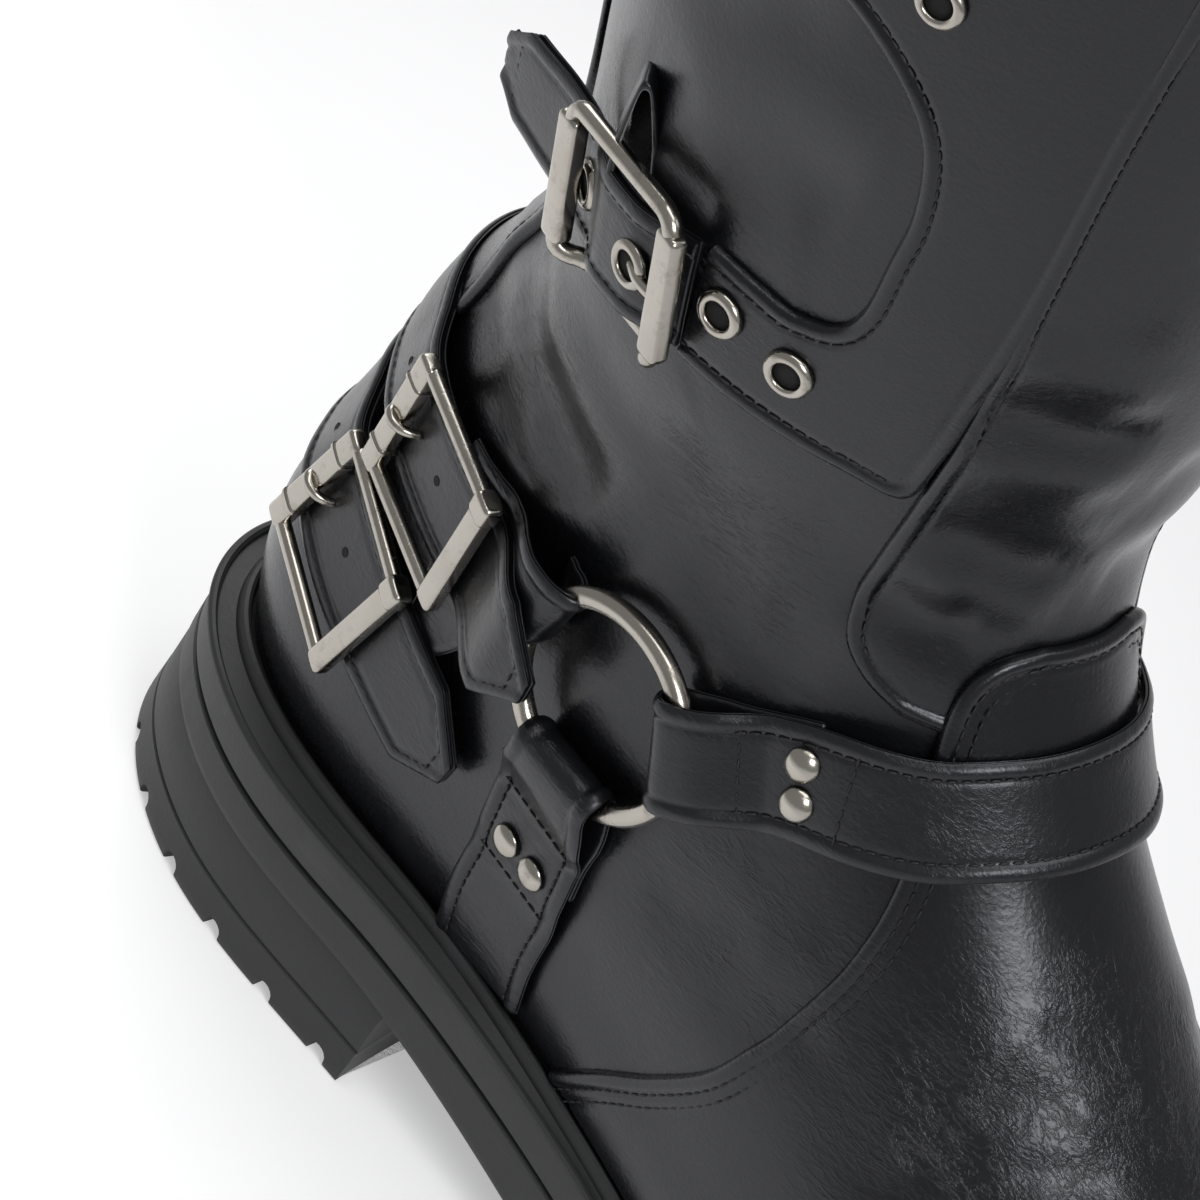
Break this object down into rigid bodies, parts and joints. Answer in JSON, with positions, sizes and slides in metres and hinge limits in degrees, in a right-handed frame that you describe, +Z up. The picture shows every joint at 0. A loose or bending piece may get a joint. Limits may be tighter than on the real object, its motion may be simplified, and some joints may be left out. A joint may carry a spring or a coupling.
{
  "type": "ankle strap harness boot",
  "caption": "Right wide-calf boot with a chunky lugged rubber sole, O-ring harness straps, buckled heel straps and a buckled strap on its panelled shaft.",
  "frame": {"origin": "on the floor, in the middle of the heel's flat face", "axes": "+Z up, +X toward the toe, -Y the outer side of the foot"},
  "size_m": [0.2943, 0.1278, 0.35],
  "materials": {
    "leather": "smooth black faux leather, semi-gloss",
    "strap": "smooth black faux leather with stitched edges",
    "lining": "plain grey lining and sock",
    "rubber": "matt black moulded rubber",
    "metal": "worn nickel, brushed and scratched"
  },
  "bodies": {
    "root": {"back_stay": "leather", "eyelet_1": "metal", "eyelet_2": "metal", "eyelet_3": "metal", "eyelet_4": "metal", "eyelet_5": "metal", "front_panel": "leather", "heel_buckle_lower_frame": "metal", "heel_buckle_lower_prong": "metal", "heel_buckle_upper_frame": "metal", "heel_buckle_upper_prong": "metal", "heel_strap_lower": "strap", "heel_strap_upper": "strap", "insole": "lining", "instep_inner_rivet_1": "metal", "instep_inner_rivet_2": "metal", "instep_outer_rivet_1": "metal", "instep_outer_rivet_2": "metal", "instep_strap": "strap", "keeper_loop": "strap", "outsole": "rubber", "ring_inner": "metal", "ring_outer": "metal", "shaft_buckle_frame": "metal", "shaft_buckle_prong": "metal", "shaft_strap_tip": "strap", "side_panel": "leather", "sole_inner_rivet_1": "metal", "sole_inner_rivet_2": "metal", "sole_outer_rivet_1": "metal", "sole_outer_rivet_2": "metal", "sole_strap_inner": "strap", "sole_strap_outer": "strap", "upper": "leather", "vamp_overlay": "leather", "yoke_inner": "strap", "yoke_outer": "strap"}
  },
  "joints": []
}
